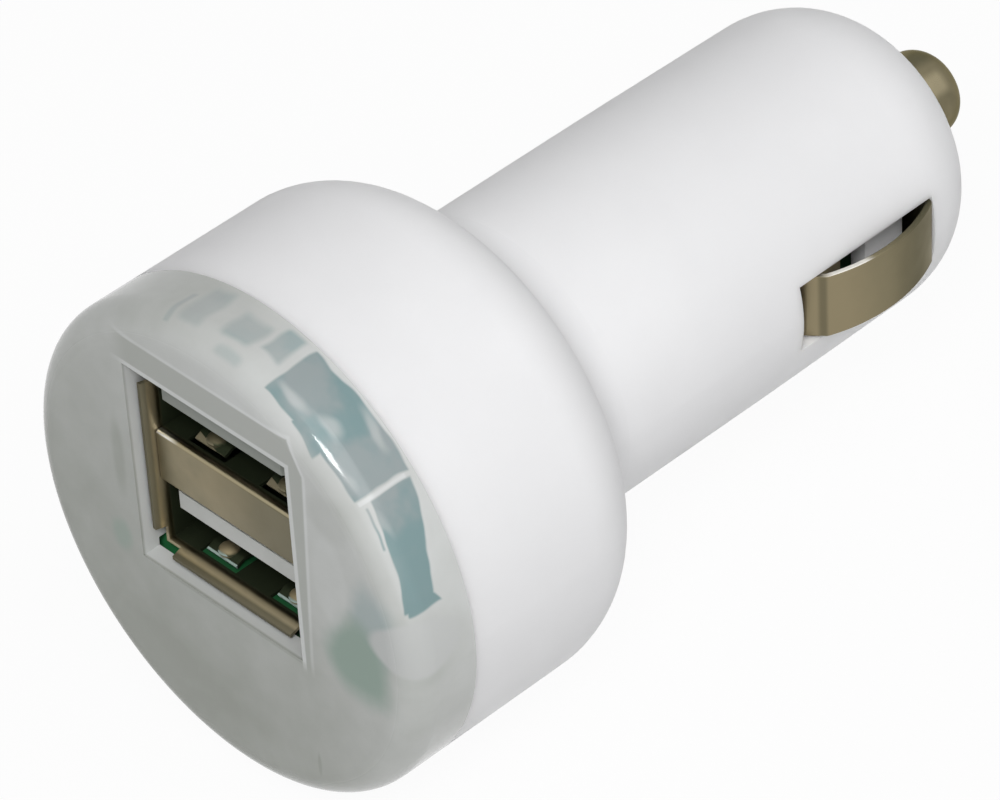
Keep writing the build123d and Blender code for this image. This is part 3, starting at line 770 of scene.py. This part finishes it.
def cap_clouds(tree, at):
    """Paleness of the bare milk: painted light by height on the face and round the side, with clouds, wisps
    and spots.
    """
    climb = tree.add(tree.times(at.across, CLIMB_ACROSS), tree.times(at.upward, CLIMB_UPWARD))
    lit = tree.math("COSINE", tree.times(tree.less(at.angle, LIT_ANGLE), DEGREE))
    # Painted light: paler up the face, and round the side towards the lit angle
    pale = tree.towards(tree.spread(climb, *FACE_PAINTED_LIGHT), tree.spread(lit, *SIDE_PAINTED_LIGHT), at.side)
    cloud = tree.drift(CLOUD_SCALE, detail=3.0, roughness=0.55)
    wisp = tree.drift(WISP_SCALE, detail=3.0, roughness=0.6)
    pale = tree.add(pale, tree.times(cloud, CLOUD_CHANGE), tree.times(wisp, WISP_CHANGE))
    for centre, half, soft, change in CAP_SPOTS:
        spot = tree.spot(at.across, at.upward, centre, half, soft)
        pale = tree.add(pale, tree.times(spot, at.face, change))
    return pale


def cap_frame(tree, at):
    """Masks of the painted frame above and beside the opening: the painted shade inside it, its pale outer
    line, and the painted highlight on its inner rim.
    """
    past_right = tree.less(at.across, OPENING_RIGHT)
    past_top = tree.less(at.upward, OPENING_TOP)
    outer_right = tree.less(past_right, tree.spread(at.upward, *FRAME_HEIGHTS, FRAME_FOOT, FRAME_BESIDE))
    outer_top = tree.less(past_top, FRAME_ABOVE)
    past_corner = tree.times(tree.less(past_right, FRAME_CORNER_START), FRAME_CORNER_ACROSS)
    corner = tree.add(past_corner, tree.times(outer_top, FRAME_CORNER_UPWARD))
    from_line = tree.larger(outer_right, outer_top, corner)
    from_opening = tree.larger(past_right, past_top)
    held = tree.times(tree.rise(at.across, *FRAME_LEFT), tree.rise(at.upward, *FRAME_BOTTOM))
    within = tree.times(tree.fade(from_line, *FRAME_OUTER_STEP), tree.rise(from_opening, *FRAME_INNER_STEP))
    collar_shade = tree.times(held, within)
    line = tree.times(held, tree.band(from_line, *FRAME_LINE))
    rim = tree.times(held, tree.band(from_opening, *FRAME_RIM_HIGHLIGHT))
    return collar_shade, line, rim


def cap_opening(tree, at, pale):
    """Paleness with the port opening added: its painted frame, painted light on its walls and the painted
    shade below it.
    """
    collar_shade, line, rim = cap_frame(tree, at)
    # Painted shade where the collar shows through the face
    pale = tree.towards(pale, FRAME_SHADE_PALENESS, collar_shade, at.face, FRAME_SHADE_STRENGTH)
    pale = tree.add(pale, tree.times(line, at.face, LINE_CHANGE))
    # Painted highlight along the rim of the opening
    pale = tree.towards(pale, RIM_HIGHLIGHT_PALENESS, rim, at.face)
    past = past_ports(tree, at.across, at.upward, OPENING_RIGHT, OPENING_HALF_HEIGHT)
    # Painted light on the walls of the opening, paler higher up
    wall_light = tree.spread(at.upward, *WALL_HEIGHTS, *WALL_PAINTED_LIGHT)
    pale = tree.towards(pale, wall_light, tree.fade(past, *WALL_STEP), tree.rise(at.depth, *WALL_START))
    shade = tree.times(tree.band(at.upward, *SHADE_HEIGHTS), tree.band(at.across, *SHADE_WIDTHS))
    return tree.less(pale, tree.times(shade, at.face, SHADE_CHANGE))


def cap_edges(tree, at, pale):
    """Paleness with the edges added: painted shade round the pad and along the rim, paler along the seam."""
    pad_shade = tree.spot(at.angle, at.reach, PAD_SHADE_CENTRE, PAD_SHADE_HALF, PAD_SHADE_SOFT)
    rim_shade = tree.times(tree.band(at.angle, *RIM_SHADE_TURN), tree.band(at.reach, *RIM_SHADE_REACH))
    # Painted shade round the pad and along the rim
    pale = tree.less(pale, tree.times(tree.add(pad_shade, rim_shade), EDGE_SHADE_CHANGE))
    return tree.add(pale, tree.times(tree.rise(at.reach, *SEAM_STEP), SEAM_CHANGE))


def cap_windows(tree, at):
    """Mask of the clear windows, with edges that wander a little."""
    angle = tree.math("FLOORED_MODULO", at.angle, 360.0)
    wobble = tree.drift(WOBBLE_SCALE, detail=1.0)
    loose_angle = tree.add(angle, tree.times(wobble, WOBBLE_TURN))
    loose_reach = tree.add(at.reach, tree.times(wobble, WOBBLE_REACH))
    windows = 0.0
    for start, end, near, far, near_lean, far_lean, strength, soft in CAP_WINDOWS:
        edge = WINDOW_EDGE * soft
        from_start = tree.less(angle, start)
        past_near = tree.less(loose_reach, tree.times(from_start, near_lean))
        past_far = tree.less(loose_reach, tree.times(from_start, far_lean))
        window = tree.times(
            tree.band(loose_angle, start, end, WINDOW_EDGE_TURN * soft),
            tree.rise(past_near, near - edge, near + edge),
            tree.fade(past_far, far - edge, far + edge),
            strength,
        )
        windows = tree.larger(windows, window)
    return tree.times(windows, at.side)


def window_view(tree, at, stray):
    """What shows through the windows: teal at the low end, greyer patches above it, and milky smears."""
    patches = tree.rise(tree.noise(PATCH_SCALE, detail=3.0), *PATCH_SPREAD)
    colour = tree.paint(WINDOW_TEAL, WINDOW_GREY, patches, tree.rise(at.angle, *TEAL_END))
    for centre, half, strength in WINDOW_SMEARS:
        smear = tree.spot(tree.add(at.angle, stray), tree.add(at.reach, stray), centre, half, SMEAR_SOFT)
        colour = tree.paint(colour, MILK_PALE, smear, strength)
    return colour


def cap_milky():
    """Milky translucent plastic: painted light makes it paler above and at its side, with clear windows
    between the fins.
    """
    material, tree, shader = new_material("cap_milky")
    at = cap_places(tree)
    pale = cap_clouds(tree, at)
    pale = cap_opening(tree, at, pale)
    pale = cap_edges(tree, at, pale)
    colour = tree.mix(pale, MILK_DEEP, MILK_PALE)

    stray = tree.times(tree.drift(STRAY_SCALE), STRAY_REACH)
    tinted = tree.fade(at.depth, *FACE_TINTS_END)
    for centre, half, soft, strength, tint in CAP_TINTS:
        spot = tree.spot(tree.add(at.across, stray), tree.less(at.upward, stray), centre, half, soft)
        colour = tree.paint(colour, tint, spot, tinted, strength)
    pad = tree.spot(at.angle, at.reach, PAD_CENTRE, PAD_HALF, PAD_SOFT)
    colour = tree.paint(colour, MILK_PAD, pad, PAD_STRENGTH)

    windows = cap_windows(tree, at)
    colour = tree.paint(colour, window_view(tree, at, stray), windows)
    rib = tree.times(tree.band(at.angle, *RIB_TURN), tree.band(at.reach, *RIB_REACH))
    colour = tree.paint(colour, MILK_PALE, rib, RIB_STRENGTH)
    tree.feed(shader.inputs["Base Color"], colour)
    tree.feed(shader.inputs["Roughness"], tree.spread(at.reach, *CAP_ROUGHNESS))
    tree.feed(shader.inputs["Alpha"], tree.spread(windows, 0.0, 1.0, *CAP_OPACITY))
    bump(tree, shader, tree.grain(CAP_GRAIN)["Height"], CAP_RELIEF, CAP_DEPTH)
    return material


# Finishes of all the nodes

SHELL_LIGHT = (0.83, 0.83, 0.84)
SHELL_DARK = (0.80, 0.80, 0.81)
# Plain finishes: lighter tone, darker tone, roughness where smooth and where rough
MOULDED_TONES = {
    "can_sleeve": ((0.05, 0.06, 0.09), (0.03, 0.035, 0.055), 0.30, 0.42),
    "ferrite": ((0.10, 0.10, 0.105), (0.06, 0.06, 0.065), 0.55, 0.70),
    "chip_black": ((0.035, 0.035, 0.038), (0.022, 0.022, 0.024), 0.50, 0.62),
    "lamp_clear": ((0.66, 0.74, 0.78), (0.55, 0.66, 0.72), 0.10, 0.18),
    "ceramic_tan": ((0.42, 0.29, 0.17), (0.33, 0.22, 0.13), 0.45, 0.58),
}
PLATED_TONES = {
    "contact_gold": ((0.75, 0.55, 0.24), (0.60, 0.42, 0.17), 0.25, 0.35),
    "spring_steel": ((0.50, 0.50, 0.51), (0.38, 0.38, 0.39), 0.25, 0.38),
    "tin": ((0.62, 0.62, 0.63), (0.50, 0.50, 0.51), 0.30, 0.45),
    "copper": ((0.55, 0.26, 0.12), (0.40, 0.17, 0.08), 0.30, 0.42),
}


def shell_white():
    """Housing: satin white plastic that light enters a little way."""
    return moulded("shell_white", SHELL_LIGHT, SHELL_DARK, smooth=0.40, rough=0.50,
                   scale=70.0, relief=0.08, gloss=0.25, scatter=0.6)


SLOT_FINISHES = {
    "shell_white": shell_white(),
    "cap_milky": cap_milky(),
    "nickel": port_nickel(),
    "tongue_white": tongue_white(),
    "board_green": board_green(),
    **{name: moulded(name, *tones) for name, tones in MOULDED_TONES.items()},
    **{name: plated(name, *tones) for name, tones in PLATED_TONES.items()},
}
LEAF_NICKEL = leaf_nickel()
NODE_FINISHES = {
    "right_side_contact": LEAF_NICKEL,
    "left_side_contact": LEAF_NICKEL,
    "tip_contact": tip_nickel(),
}


def finish_of(node):
    """The node's own finish, or else its slot's."""
    return NODE_FINISHES.get(node, SLOT_FINISHES[SLOTS[node]])


def dress_nodes():
    """Give each node of the frame its finish."""
    for name, node in frame["nodes"].items():
        node.data.materials.clear()
        node.data.materials.append(finish_of(name))


# Pieces that stand for their nodes

# Edges that the press and the mould leave round: how wide the rounding is, in millimetres
ROUNDED = {
    "right_side_contact": 0.07,
    "left_side_contact": 0.07,
    "usb_insulator": 0.12,
    "usb_divider": 0.05,
    "usb_shell": 0.05,
}
ROUNDING_STEPS = 2
WELD_DISTANCE = 0.0005
SHARP_EDGE = 28 * DEGREE
FLAT_JOIN = 0.6 * DEGREE
SMOOTH_SHADE = 24 * DEGREE


def new_object(name, data):
    """Object in the scene, made from a mesh, lamp or camera."""
    made = bpy.data.objects.new(name, data)
    bpy.context.scene.collection.objects.link(made)
    return made


def rounded(node, width):
    """Copy of a node with its sharp edges rounded off, which stands for the node."""
    bm = bmesh.new()
    bm.from_mesh(frame["nodes"][node].data)
    bmesh.ops.remove_doubles(bm, verts=bm.verts, dist=WELD_DISTANCE * MM)
    bmesh.ops.dissolve_limit(bm, angle_limit=FLAT_JOIN, verts=bm.verts, edges=bm.edges)
    edges = [edge for edge in bm.edges if edge.calc_face_angle(0.0) > SHARP_EDGE]
    bmesh.ops.bevel(bm, geom=edges, offset=width * MM, segments=ROUNDING_STEPS, profile=0.5,
                    affect="EDGES", clamp_overlap=True)
    mesh = bpy.data.meshes.new(node + "_rounded")
    bm.to_mesh(mesh)
    bm.free()
    mesh.shade_smooth()
    mesh.set_sharp_from_angle(angle=SMOOTH_SHADE)
    mesh.materials.append(finish_of(node))
    piece = new_object(node + "_rounded", mesh)
    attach(piece, BODIES[node])
    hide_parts(node)


def closing_spring():
    """Copy of the tip spring on its body, which stands for its node."""
    coil = new_object("tip_spring_coil", frame["nodes"]["tip_spring"].data.copy())
    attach(coil, BODIES["tip_spring"])
    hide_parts("tip_spring")
    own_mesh(coil)


# Stage, light and camera

WHITE = (1.0, 1.0, 1.0)
FLOOR_GREY = (0.7, 0.7, 0.7)
FLOOR_ROUGHNESS = 0.9
FLOOR_GLOW = 0.95
WORLD_LIGHT = 0.26
# Half the floor's width and where it lies, under the head, in metres
FLOOR_HALF = 3.0
FLOOR_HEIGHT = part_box("housing_shell")[0].z
# Lamps: direction from the plug, distance, width and height in metres, power in watts
LAMPS = {
    "key_box": ((0.45, -0.52, 0.73), 0.5, 0.11, 0.11, 1.0),
    "top_box": ((0.55, -0.10, 0.85), 0.6, 0.5, 0.5, 1.55),
    "side_box": ((0.92, -0.20, 0.33), 0.6, 0.4, 0.4, 0.1),
}
# Where the photo's camera stands and how it is framed
VIEW_TARGET = Vector((-5.223, 3.890, -7.956)) * MM
VIEW_AZIMUTH = 47.773 * DEGREE
VIEW_ELEVATION = 39.750 * DEGREE
VIEW_ROLL = -3.633 * DEGREE
VIEW_DISTANCE = 362.752 * MM
VIEW_NEAREST = 10 * MM
VIEW_FOCAL_PIXELS = 5774.78
IMAGE_WIDTH = 1000
SENSOR_WIDTH = 36.0


def seen_directly(tree):
    """1 for rays that show the surroundings: to the camera, in metal and through the cap."""
    rays = tree.node("ShaderNodeLightPath").outputs
    return tree.larger(rays["Is Camera Ray"], rays["Is Glossy Ray"], rays["Is Transmission Ray"])


def pale_floor():
    """Wide floor that is nearly white to the camera and keeps a soft shadow."""
    bm = bmesh.new()
    bmesh.ops.create_grid(bm, x_segments=1, y_segments=1, size=FLOOR_HALF)
    mesh = bpy.data.meshes.new("floor")
    bm.to_mesh(mesh)
    bm.free()
    material, tree, shader = new_material("floor_white")
    tree.feed(shader.inputs["Base Color"], FLOOR_GREY)
    tree.feed(shader.inputs["Roughness"], FLOOR_ROUGHNESS)
    glow = tree.node("ShaderNodeEmission")
    blend = tree.node("ShaderNodeMixShader")
    tree.feed(blend.inputs[0], tree.times(seen_directly(tree), FLOOR_GLOW))
    tree.feed(blend.inputs[1], shader.outputs[0])
    tree.feed(blend.inputs[2], glow.outputs[0])
    tree.feed(tree.tree.nodes["Material Output"].inputs["Surface"], blend.outputs[0])
    mesh.materials.append(material)
    floor = new_object("floor", mesh)
    floor.location.z = FLOOR_HEIGHT


def soft_box(name, towards, distance, width, height, power):
    """Rectangular lamp that faces the plug from a direction."""
    lamp = bpy.data.lights.new(name, "AREA")
    lamp.shape = "RECTANGLE"
    lamp.size = width
    lamp.size_y = height
    lamp.energy = power
    direction = Vector(towards).normalized()
    holder = new_object(name, lamp)
    holder.location = VIEW_TARGET + direction * distance
    holder.rotation_euler = direction.to_track_quat("Z", "Y").to_euler()


def pale_world():
    """Even pale light, which the camera, the metal and the cap see as white."""
    world = bpy.data.worlds.new("pale_world")
    world.use_nodes = True
    bpy.context.scene.world = world
    tree = Tree(world.node_tree)
    background = world.node_tree.nodes["Background"]
    tree.feed(background.inputs["Color"], WHITE)
    tree.feed(background.inputs["Strength"], tree.spread(seen_directly(tree), 0.0, 1.0, WORLD_LIGHT, 1.0))


def photo_camera():
    """Camera at the photo's own angle, distance and framing."""
    level = math.cos(VIEW_ELEVATION)
    back = Vector((math.sin(VIEW_AZIMUTH) * level, -math.cos(VIEW_AZIMUTH) * level, math.sin(VIEW_ELEVATION)))
    right = Vector((0, 0, 1)).cross(back).normalized()
    up = back.cross(right)
    tilted_right = right * math.cos(VIEW_ROLL) + up * math.sin(VIEW_ROLL)
    tilted_up = up * math.cos(VIEW_ROLL) - right * math.sin(VIEW_ROLL)
    lens = bpy.data.cameras.new("photo_camera")
    lens.sensor_width = SENSOR_WIDTH
    lens.lens = VIEW_FOCAL_PIXELS * SENSOR_WIDTH / IMAGE_WIDTH
    lens.clip_start = VIEW_NEAREST
    camera = new_object("photo_camera", lens)
    turned = Matrix((tilted_right, tilted_up, back)).transposed().to_4x4()
    camera.matrix_world = Matrix.Translation(VIEW_TARGET + back * VIEW_DISTANCE) @ turned
    bpy.context.scene.camera = camera


dress_nodes()
for node_name, edge_width in ROUNDED.items():
    rounded(node_name, edge_width)
closing_spring()

pale_floor()
pale_world()
for lamp_name, lamp_setting in LAMPS.items():
    soft_box(lamp_name, *lamp_setting)
photo_camera()
bpy.context.scene.view_settings.view_transform = "Standard"
